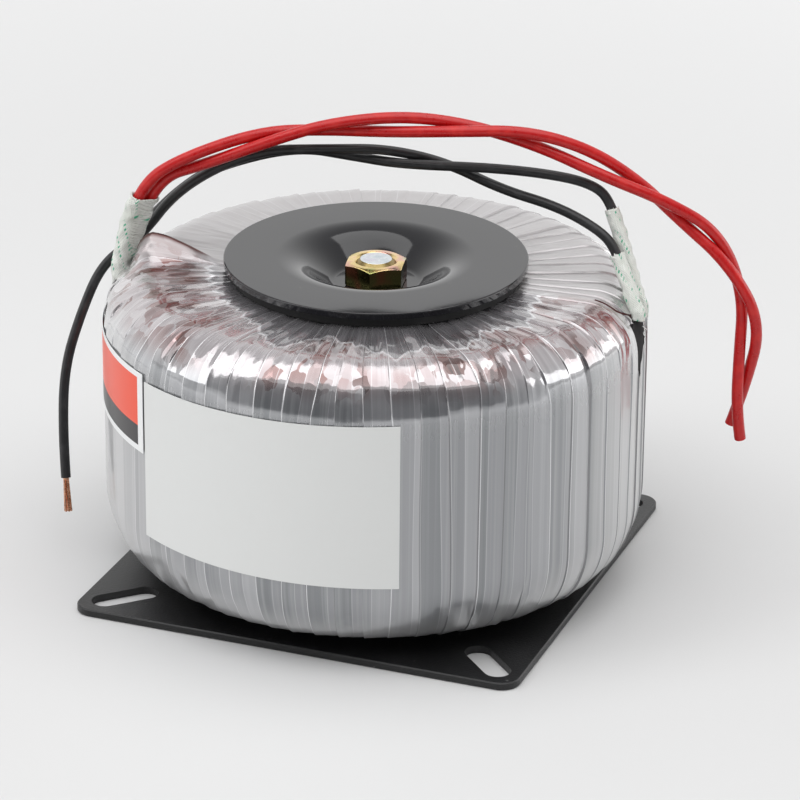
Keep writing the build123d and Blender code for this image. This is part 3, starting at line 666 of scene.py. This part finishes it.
def film_wrap():
    """The film as one closed skin: turns that overlap like shingles, pleated where they crowd together."""
    rng = np.random.default_rng(11)
    r, z, out_r, out_z, path = ring_section()
    across = np.tile(SAMPLES_ACROSS_TURN, TURNS)
    number = np.repeat(np.arange(TURNS), len(SAMPLES_ACROSS_TURN))
    turn = number + across
    bearing = turn[:, None] * (2 * math.pi / TURNS) + np.zeros_like(r)[None, :]
    s = path[:-1][None, :]
    on_top = smooth(66, 80.5, z)[None, :] * smooth(24, 32, r)[None, :]
    pitch = 2 * math.pi / TURNS

    # The turns' edges wander a little, more on top than down the wall
    for waves, reach, phase_rate in ((9, 0.16, 0.02), (17, 0.10, 0.05), (31, 0.05, 0.09)):
        phase = rng.uniform(0, 2 * math.pi)
        bearing = bearing + reach * pitch * (0.35 + 0.65 * on_top) * np.sin(
            waves * turn[:, None] * pitch + phase + phase_rate * s)

    # Each turn is tight and flat between its edges, sits at its own height and tilt, and covers the last
    level = rng.uniform(-0.08, 0.08, TURNS)[number][:, None]
    tilt = rng.normal(0, 0.09, TURNS)[number][:, None]
    rise = TURN_STEP * (0.5 - across[:, None]) + level + tilt * (across[:, None] - 0.5)
    rise = rise - 0.06 * (1 - (2 * across[:, None] - 1) ** 2) - 0.16
    height = rise * (0.35 + 0.65 * smooth(22, 45, r)[None, :])

    # Each turn rounds the crown in its own way, so that the light on it breaks into blocks
    to_side = smooth(math.cos(math.radians(20)), math.cos(math.radians(48)),
                     np.cos(turn * pitch - CAMERA_BEARING))
    crown_at = path[np.argmax(r > RIM_R - CROWN[0] * 0.30)] + 0.8 + 2.9 * to_side[:, None]
    for spread, mean, reach in ((3.3, 0.55, 0.16), (8.0, -0.30, 0.16)):
        shift = rng.normal(0, 1.6, TURNS)[number][:, None]
        sharp = rng.normal(mean, reach, TURNS)[number][:, None]
        height = height + sharp * np.exp(-((s - crown_at - shift) / spread) ** 2)

    # Pleats on the top face: narrow folds that run to the bore and fade out towards the rim
    top_reach = np.interp(r, [BORE_R, 30, 40, 58, 66, RIM_R], [0.0, 0.6, 1.0, 0.55, 0.15, 0.0])
    back = (PALE_SIDE[0] * np.cos(bearing) + PALE_SIDE[1] * np.sin(bearing)) * r[None, :]
    top_reach = (top_reach * smooth(62, 76, z))[None, :] * (1 - 0.6 * smooth(-9, -1, back))
    width_here = np.clip(r, 24, 70)[None, :]
    for _ in range(TURNS * 3):
        middle = rng.uniform(0, 2 * math.pi)
        lean = rng.normal(0, 0.0010)
        width = rng.uniform(0.7, 2.8)
        depth = rng.uniform(0.08, 0.32) * rng.choice([-1, 1])
        outer = rng.uniform(44, 68)
        inner = rng.uniform(28, 40)
        centre = middle + lean * (s - path[10])
        apart = (bearing - centre + math.pi) % (2 * math.pi) - math.pi
        fade = (smooth(0, 7, outer - r) * smooth(-4, 2, r - inner))[None, :]
        height = height + top_reach * fade * depth * np.exp(-np.abs(apart * width_here / width) ** 1.5)

    # The winding under the crown shows as small knuckles along the bright edge
    crown = smooth(66, 72, z)[None, :] * smooth(56, 62, r)[None, :]
    for waves, reach in ((97, 0.022), (151, 0.016)):
        phase = rng.uniform(0, 2 * math.pi)
        height = height + crown * reach * np.sin(waves * bearing + phase + 0.15 * s)

    # Slack film under the shoulder: slanting creases and a ragged lower edge
    low = smooth(26, 10, z)[None, :] * smooth(50, 58, r)[None, :]
    for _ in range(130):
        middle = rng.uniform(0, 2 * math.pi)
        at_s = rng.uniform(path[72], path[94])
        slant = rng.uniform(-1.2, 1.2)
        length = rng.uniform(3, 9)
        width = rng.uniform(0.5, 1.3)
        depth = rng.uniform(0.15, 0.5) * rng.choice([-1, 1], p=[0.7, 0.3])
        apart = ((bearing - middle + math.pi) % (2 * math.pi) - math.pi) * width_here
        down = s - at_s
        cross = (apart + slant * down) / math.hypot(1, slant)
        lengthwise = (down - slant * apart) / math.hypot(1, slant)
        height = height + low * depth * np.exp(-(cross / width) ** 2 - (lengthwise / length) ** 2)

    # The film gapes below the black leads' sleeves and stands up beside the red ones
    degrees = np.degrees((bearing + math.pi) % (2 * math.pi) - math.pi)
    gape, drift = [sum(change * smooth(low, high, z) for low, high, change in changes)
                   for changes in ((SLIT_OPENS, SLIT_CLOSES), SLIT_DRIFTS)]
    gape = gape * (r > SLIT_INNER_R)
    middle = SLIT_BEARING + drift
    inside = smooth(0.2, -0.4, np.abs(degrees - middle[None, :]) - gape[None, :]) * (gape > 0.01)[None, :]
    height = height * (1 - inside) - 0.60 * inside
    tent = np.interp(r, TENT_RADII, TENT_HEIGHTS) * (z > 79)
    past = degrees - TENT_BEARING
    flank = np.where(past < 0, np.exp(-(past / 1.3) ** 2), np.exp(-(np.abs(past) / 5.0) ** 1.4))
    height = height + tent[None, :] * flank

    under_pad = smooth(40.5, 38.0, r)[None, :] * smooth(60, 75, z)[None, :]
    height = height * (1 - under_pad) + np.minimum(height, -0.05) * under_pad
    height = np.maximum(height, -0.62)
    upright = (smooth(60, 66, r) * smooth(10, 24, z) * smooth(74, 66, z))[None, :]
    height = height * (1 - upright) + np.minimum(height, 0.0) * upright
    radius = r[None, :] + out_r[None, :] * height
    level = z[None, :] + out_z[None, :] * height
    points = np.stack([radius * np.cos(bearing), radius * np.sin(bearing), level], -1)
    mesh = grid_mesh("film_wrap", points, True, True, uv=(np.append(turn, TURNS), path))
    return new_object("film_wrap", mesh, FILM, ["outer_wrap"])


# The torn curl of film by the slit: its places and its half thickness
CURL = (
    (55.5, -41.5, 72.6), (56.3, -41.9, 72.0), (56.9, -41.4, 71.4), (56.2, -41.1, 70.9), (55.7, -41.8, 70.4),
    (56.2, -42.0, 69.8))
CURL_R = 0.13


def film_curl():
    """A small curl of torn film that hangs from the slit's edge."""
    curve = wire_curve("film_curl", CURL, CURL_R * MM, 6, 2)
    return new_object("film_curl", curve, LABEL_PAPER)


# Washer and nut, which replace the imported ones: the washer's lip is rounder and the nut is turned a little

WASHER_R = 39.0
WASHER_HIGH = 85.3
WASHER_LOW = 83.7
LIP_FLAT_R = 25.7
LIP_BEND_R = 14.0
DISH_ANGLE = math.radians(37)
FLOOR_BEND_R = 3.0
NUT_SEAT = 78.2
HOLE_R = 5.25


def turned_piece(name, profile, sides, material, replaced):
    """A closed section of radii and heights, turned about the middle."""
    angle = np.linspace(0, 2 * math.pi, sides, endpoint=False)[:, None]
    r, z = profile[:, 0][None, :], profile[:, 1][None, :]
    points = np.stack([r * np.cos(angle), r * np.sin(angle), z + 0 * angle], -1)
    return new_object(name, grid_mesh(name, points, True, True), material, replaced)


def washer():
    """The dished washer: flat rim, broad lip that rolls over into the dish, flat floor under the nut."""
    bend = np.linspace(0, 1, 22)
    lip = [(LIP_FLAT_R - LIP_BEND_R * math.sin(a), WASHER_HIGH - LIP_BEND_R * (1 - math.cos(a)))
           for a in DISH_ANGLE * bend]
    floor_drop = FLOOR_BEND_R * (1 - math.cos(DISH_ANGLE))
    run = (lip[-1][1] - NUT_SEAT - floor_drop) / math.tan(DISH_ANGLE)
    foot_r = lip[-1][0] - run - FLOOR_BEND_R * math.sin(DISH_ANGLE)
    foot = [(foot_r + FLOOR_BEND_R * math.sin(a), NUT_SEAT + FLOOR_BEND_R * (1 - math.cos(a)))
            for a in DISH_ANGLE * (1 - bend[::3])]
    edge = [(WASHER_R - 0.3 + 0.3 * math.sin(a), WASHER_HIGH - 0.3 + 0.3 * math.cos(a))
            for a in np.linspace(math.pi / 2, 0, 4)]
    edge = [(WASHER_R, WASHER_LOW + 0.3), (WASHER_R, WASHER_HIGH - 0.4)] + edge
    top = edge + [(WASHER_R - 0.5, WASHER_HIGH), (34.0, WASHER_HIGH)] + lip + foot + [(HOLE_R, NUT_SEAT)]
    sheet = WASHER_HIGH - WASHER_LOW
    under = [(HOLE_R, NUT_SEAT - sheet), (foot_r - 1.0, NUT_SEAT - sheet), (19.0, WASHER_LOW - 1.6),
             (22.5, WASHER_LOW), (WASHER_R, WASHER_LOW)]
    piece = turned_piece("dished_washer_visual", np.array(top + under), 160, WASHER_PAINT,
                         ["dished_washer"])
    piece.data.set_sharp_from_angle(angle=math.radians(40))
    return piece


NUT_HEIGHT = 6.0
NUT_CORNER_R = 8.42
NUT_FACE_R = 6.95
NUT_TURN = math.radians(-4.4)
NUT_BORE_R = 5.05


def nut():
    """The hexagon nut: its corners turned down, its bore opened at the mouth."""
    angle = np.linspace(0, 2 * math.pi, 144, endpoint=False)
    flat = NUT_CORNER_R * math.cos(math.pi / 6)
    reach = flat / np.cos((angle - NUT_TURN) % (math.pi / 3) - math.pi / 6)
    drop = np.maximum(reach - NUT_FACE_R, 0) * math.tan(math.radians(24))
    high = NUT_SEAT + NUT_HEIGHT
    ones = np.ones_like(angle)
    levels = [(NUT_BORE_R * ones, NUT_SEAT * ones), (NUT_BORE_R * ones, (high - 0.6) * ones),
              ((NUT_BORE_R + 0.5) * ones, (high - 0.05) * ones), ((NUT_BORE_R + 0.6) * ones, high * ones),
              ((NUT_FACE_R - 0.15) * ones, high * ones), (NUT_FACE_R * ones, (high - 0.03) * ones),
              (reach - 0.08, high - drop + 0.02), (reach, high - drop - 0.08), (reach, high - drop - 0.2),
              (reach, (NUT_SEAT + 0.5) * ones), (reach, (NUT_SEAT + 0.3) * ones),
              (reach - 0.3, NUT_SEAT * ones)]
    points = np.stack([np.stack([r * np.cos(angle), r * np.sin(angle), z], -1) for r, z in levels], 1)
    mesh = grid_mesh("clamp_nut_visual", points, True, True)
    mesh.set_sharp_from_angle(angle=math.radians(25))
    return new_object("clamp_nut_visual", mesh, YELLOW_ZINC, ["clamp_nut"])


# Rating label: its ends' bearings and, at each end, the heights of its lower and upper edge

RATING_LABEL_BEARINGS = (-169.1, -109.0)
RATING_LABEL_LEFT = (25.15, 67.10)
RATING_LABEL_RIGHT = (24.80, 68.45)
LABEL_INNER_R = 70.05
LABEL_OUTER_R = 70.20


def rating_label():
    """The big label, stuck on a little aslant: a bent sheet with closed edges."""
    share = np.linspace(0, 1, 61)
    bearing = np.radians(np.interp(share, [0, 1], RATING_LABEL_BEARINGS))
    low = np.interp(share, [0, 1], [RATING_LABEL_LEFT[0], RATING_LABEL_RIGHT[0]])
    high = np.interp(share, [0, 1], [RATING_LABEL_LEFT[1], RATING_LABEL_RIGHT[1]])
    up = np.linspace(0, 1, 13)
    heights = low[:, None] + (high - low)[:, None] * up[None, :]
    skins = []
    for radius in (LABEL_OUTER_R, LABEL_INNER_R):
        skins.append(np.stack([radius * np.cos(bearing)[:, None] + 0 * heights,
                               radius * np.sin(bearing)[:, None] + 0 * heights, heights], -1))
    outer, inner = skins
    ring = np.concatenate([outer, inner[:, ::-1]], 1)
    ends = [(ring[i] * 0 + (outer[i] + inner[i]).reshape(-1, 3).mean(0) / 2)[None] for i in (0, -1)]
    mesh = grid_mesh("rating_label_paper", np.concatenate([ends[0], ring, ends[1]], 0), False, True)
    mesh.shade_flat()
    return new_object("rating_label_paper", mesh, LABEL_PAPER, ["rating_label"])


# Leads

LEAD_ROUTES = {
    "red_lead_1": (
        (-52.6, 37.8, 90.3), (-50.4, 35.0, 100.0), (-41.5, 31.0, 107.0), (-22.5, 23.0, 114.5),
        (-8.0, 15.5, 115.5), (6.0, 6.0, 116.0), (20.0, -5.5, 118.0), (35.5, -13.0, 118.5),
        (50.5, -18.5, 113.5), (63.5, -22.5, 104.0), (72.0, -28.0, 94.5), (81.5, -38.0, 84.5),
        (89.0, -43.5, 69.0), (88.5, -37.5, 49.5), (85.5, -35.5, 38.0)),
    "red_lead_2": (
        (-49.1, 38.3, 89.8), (-46.2, 35.5, 101.0), (-34.5, 29.0, 105.5), (-21.5, 18.0, 113.5),
        (-8.5, 11.5, 118.5), (9.0, 4.5, 120.5), (24.5, -3.0, 118.5), (40.0, -13.0, 113.5),
        (53.0, -22.5, 107.0), (67.5, -29.5, 100.5), (81.0, -33.5, 91.5), (87.0, -37.0, 75.0),
        (85.0, -39.5, 58.5), (84.0, -41.0, 44.5), (85.5, -41.0, 36.0)),
    "black_lead_1": (
        (53.5, -33.2, 85.6), (53.0, -30.0, 90.4), (50.0, -25.8, 94.3), (43.0, -16.5, 98.2),
        (32.5, -5.5, 100.5), (21.5, 5.0, 106.0), (7.0, 10.0, 110.0), (-6.5, 14.0, 110.5),
        (-23.5, 23.5, 109.5), (-39.5, 36.0, 97.5), (-47.5, 45.0, 81.0), (-56.5, 48.5, 74.5),
        (-63.5, 47.0, 61.5), (-69.0, 45.0, 48.0), (-72.0, 39.0, 32.5), (-72.5, 36.0, 21.0)),
    "black_lead_2": (
        (55.7, -25.0, 95.2), (55.1, -22.0, 100.5), (51.5, -18.8, 103.8), (44.0, -13.5, 105.5),
        (30.5, -5.0, 106.5), (10.0, 6.5, 106.5), (1.0, 15.0, 107.0), (-13.0, 22.0, 109.5),
        (-31.0, 33.5, 102.5), (-38.0, 41.0, 94.5), (-45.0, 49.0, 83.0), (-44.0, 60.0, 70.5),
        (-42.0, 65.5, 49.5), (-39.5, 67.0, 34.0), (-38.0, 67.5, 24.0)),
}
# Diameter, length, the mouth of the sleeve it leaves, finish and record slot
LEAD_FACTS = {
    "red_lead_1": (0.0030, 0.2257, (-0.0493, 0.0363, 0.0964), RED_PVC, "red_pvc"),
    "red_lead_2": (0.0030, 0.2225, (-0.0493, 0.0363, 0.0964), RED_PVC, "red_pvc"),
    "black_lead_1": (0.0026, 0.2177, (0.0532, -0.0312, 0.0886), BLACK_PVC, "black_pvc"),
    "black_lead_2": (0.0026, 0.2030, (0.0554, -0.0234, 0.0980), BLACK_PVC, "black_pvc"),
}


def lead_curve(name):
    """One insulated lead as a smooth line through its route, from inside its sleeve to its free end."""
    diameter, length, mouth, finish, slot = LEAD_FACTS[name]
    curve = wire_curve(name + "_insulation", LEAD_ROUTES[name], diameter / 2, 10, 5)
    piece = new_object(name + "_insulation", curve, finish, [name])
    return piece


# Sleeves

# Bore and the stations of each sleeve's middle line: bearing, inset from the rim, height over the top face,
# and the bearing of its wide side
SLEEVES = {
    "red_lead_sleeve": ((7.4, 3.65), ((143.9, 2.7, -10.7, 54), (143.1, 2.6, -3.2, 48), (143.2, 6.0, 7.5, 14),
                                     (143.6, 8.8, 15.2, 12))),
    "black_lead_sleeve_front": ((3.1, 3.1), ((-37.0, 2.0, -7.0, 50), (-36.7, 1.9, -5.6, 50),
                                             (-30.4, 8.3, 7.4, 50))),
    "black_lead_sleeve_rear": ((3.1, 3.1), ((-32.4, 1.9, -8.0, 50), (-32.0, 1.7, -6.2, 50),
                                            (-22.9, 9.9, 16.8, 50))),
}
SLEEVE_WALL = 0.35
SLEEVE_ROUND = 72
SLEEVE_ALONG = 60


def sleeve_piece(name, seed):
    """A woven sleeve: a soft flattened tube with a wall, a frayed mouth and the marks of handling."""
    rng = np.random.default_rng(seed)
    (width, depth), line = SLEEVES[name]
    spots, wides = [], []
    for bearing, inset, rise, wide in line:
        a = math.radians(bearing)
        spots.append(((RIM_R - inset) * math.cos(a), (RIM_R - inset) * math.sin(a), BODY_HIGH + rise))
        wides.append((math.cos(math.radians(wide)), math.sin(math.radians(wide)), 0))
    spots, wides = np.array(spots), np.array(wides)
    reach = np.concatenate([[0], np.cumsum(np.linalg.norm(np.diff(spots, axis=0), axis=1))])
    at = np.linspace(0, reach[-1], SLEEVE_ALONG)
    middle = np.stack([np.interp(at, reach, spots[:, i]) for i in range(3)], -1)
    wide = np.stack([np.interp(at, reach, wides[:, i]) for i in range(3)], -1)
    for _ in range(6):
        middle[1:-1] = (middle[:-2] + 2 * middle[1:-1] + middle[2:]) / 4
    along = np.gradient(middle, axis=0)
    along /= np.linalg.norm(along, axis=1)[:, None]
    wide -= along * (wide * along).sum(1)[:, None]
    wide /= np.linalg.norm(wide, axis=1)[:, None]
    deep = np.cross(along, wide)
    angle = np.linspace(0, 2 * math.pi, SLEEVE_ROUND, endpoint=False)
    crumple = np.zeros((SLEEVE_ROUND, SLEEVE_ALONG))
    for _ in range(14):
        beats, waves = rng.integers(1, 6), rng.uniform(0.04, 0.30)
        phases = rng.uniform(0, 2 * math.pi, 2)
        around = np.sin(beats * angle + phases[0])[:, None]
        crumple += 0.022 * around * np.sin(2 * math.pi * waves * at + phases[1])

    def skin(offset, frayed):
        half_w, half_d = width / 2 + offset, depth / 2 + offset
        flat = max(half_w - half_d, 0)
        side = np.cos(angle)
        x = half_d * side + flat * np.sign(side) * np.minimum(1, np.abs(side) * 4)
        y = half_d * np.sin(angle)
        squeeze = 1 + crumple[:, :, None]
        rows = (x[:, None, None] * wide[None] + y[:, None, None] * deep[None]) * squeeze + middle[None]
        if frayed:
            fray = rng.normal(0, 0.22, SLEEVE_ROUND)[:, None] * smooth(at[-1] - 2.5, at[-1], at)[None, :]
            rows = rows + fray[:, :, None] * along[None]
            rough = rng.normal(0, 0.025, (SLEEVE_ROUND, SLEEVE_ALONG))
            outward = x[:, None, None] * wide[None] + y[:, None, None] * deep[None]
            outward /= np.linalg.norm(outward, axis=2)[:, :, None]
            rows = rows + rough[:, :, None] * outward
        return rows

    outer = skin(SLEEVE_WALL, True)
    inner = skin(0.0, False)
    inner[:, -1] = outer[:, -1] * 0.3 + inner[:, -1] * 0.7
    shell = np.concatenate([outer, inner[:, ::-1]], 1)
    lengthwise = np.concatenate([at, at[::-1], [0.0]])
    mesh = grid_mesh(name + "_braid", shell, True, True,
                     uv=(np.linspace(0, 1, SLEEVE_ROUND + 1), lengthwise))
    return new_object(name + "_braid", mesh, BRAID, [name])


# Studio and camera


def camera():
    """The camera where the photograph was taken from."""
    data = bpy.data.cameras.new("camera")
    data.sensor_width = 36.0
    data.lens = CAMERA_LENS
    data.clip_start = 0.05
    data.clip_end = 50.0
    view = bpy.data.objects.new("camera", data)
    bpy.context.scene.collection.objects.link(view)
    aim = (Vector(CAMERA_TARGET) - Vector(CAMERA_AT)).to_track_quat("-Z", "Y")
    view.rotation_mode = "QUATERNION"
    view.location = CAMERA_AT
    view.rotation_quaternion = aim @ Matrix.Rotation(CAMERA_ROLL, 3, "Z").to_quaternion()
    bpy.context.scene.camera = view


def floor():
    """A pale floor that keeps the shadow and looks even to the camera."""
    mesh = bpy.data.meshes.new("floor")
    corners = [(-FLOOR_HALF, -FLOOR_HALF), (FLOOR_HALF, -FLOOR_HALF), (FLOOR_HALF, FLOOR_HALF),
               (-FLOOR_HALF, FLOOR_HALF)]
    mesh.from_pydata([(x, y, -0.0001) for x, y in corners], [], [(0, 1, 2, 3)])
    plane = bpy.data.objects.new("floor", mesh)
    bpy.context.scene.collection.objects.link(plane)
    material, s, out = new_material("floor_white", Roughness=0.6)
    away = s.span(s.vector_length(s.place()), 0.18, 1.0)
    rays = s.nodes.new("ShaderNodeLightPath").outputs
    glossy = s.math("MAXIMUM", rays["Is Glossy Ray"], rays["Is Transmission Ray"])
    seen = s.math("MAXIMUM", rays["Is Camera Ray"], glossy)
    s.link(s.mix(away, FLOOR_COLOUR, FAR_FLOOR_COLOUR), out["Base Color"])
    x, y, z = s.split(s.place())[:3]
    behind = s.plus(s.times(x, 0.55), s.times(y, 0.83))
    near_glow = s.span(behind, -0.06, 0.16, 0.0, 0.055)
    glow = s.mix(away, (0, 0, 0, 1), FAR_FLOOR_GLOW)
    s.link(s.mix(1.0, glow, s.join(near_glow, near_glow, near_glow), "ADD"), out["Emission Color"])
    s.link(seen, out["Emission Strength"])
    out["Specular IOR Level"].default_value = 0.2
    plane.data.materials.append(material)


def soft_light(name, at, size, power):
    """One soft rectangular light that faces the transformer."""
    data = bpy.data.lights.new(name, "AREA")
    data.shape = "RECTANGLE"
    data.size, data.size_y = size
    data.energy = power
    lamp = bpy.data.objects.new(name, data)
    lamp.location = at
    lamp.rotation_mode = "QUATERNION"
    tilt = (Vector((0, 0, 0.05)) - Vector(at)).to_track_quat("-Z", "Y")
    lamp.rotation_quaternion = Matrix.Identity(3).to_quaternion() if name == "overhead" else tilt
    bpy.context.scene.collection.objects.link(lamp)


def studio_world():
    """White surroundings, with the dimmer room behind the camera for what shines."""
    world = bpy.data.worlds.new("studio")
    bpy.context.scene.world = world
    world.use_nodes = True
    s = Shader(world.node_tree)
    direction = s.nodes.new("ShaderNodeTexCoord").outputs["Generated"]
    x, y, z = s.split(direction)[:3]
    flat = s.split(s.vector("NORMALIZE", s.join(x, y, 0.0)))
    facing = s.plus(s.times(flat[0], math.cos(CAMERA_BEARING)), s.times(flat[1], math.sin(CAMERA_BEARING)))
    room = s.times(s.span(facing, 0.0, 0.75), s.span(z, -0.06, 0.02))
    shine = s.mix(s.span(z, 0.35, 0.85), (1.08, 1.08, 1.08, 1), (0.62, 0.62, 0.63, 1))
    ceiling = s.mix(s.span(z, 0.4, 0.8), (0.08, 0.08, 0.09, 1), (0.45, 0.45, 0.46, 1))
    shine = s.mix(room, shine, ceiling)
    rays = s.nodes.new("ShaderNodeLightPath").outputs
    glossy = s.math("MAXIMUM", rays["Is Glossy Ray"], rays["Is Transmission Ray"])
    ambient = s.mix(s.span(x, -0.9, 0.6), (0.80, 0.80, 0.81, 1), (0.28, 0.28, 0.275, 1))
    fill = s.mix(glossy, ambient, shine)
    colour = s.mix(rays["Is Camera Ray"], fill, BACKGROUND)
    s.link(colour, s.nodes["Background"].inputs["Color"])


camera()
for lead_name in LEAD_FACTS:
    lead_curve(lead_name)
studio_world()
for light_name, light in LIGHTS.items():
    soft_light(light_name, *light)
floor()
dress_cad_nodes()
film_wrap()
film_curl()
rating_label()
washer()
nut()
for seed, sleeve_name in enumerate(SLEEVES):
    sleeve_piece(sleeve_name, seed + 3)

bpy.context.scene.view_settings.view_transform = "Standard"
bpy.context.view_layer.update()
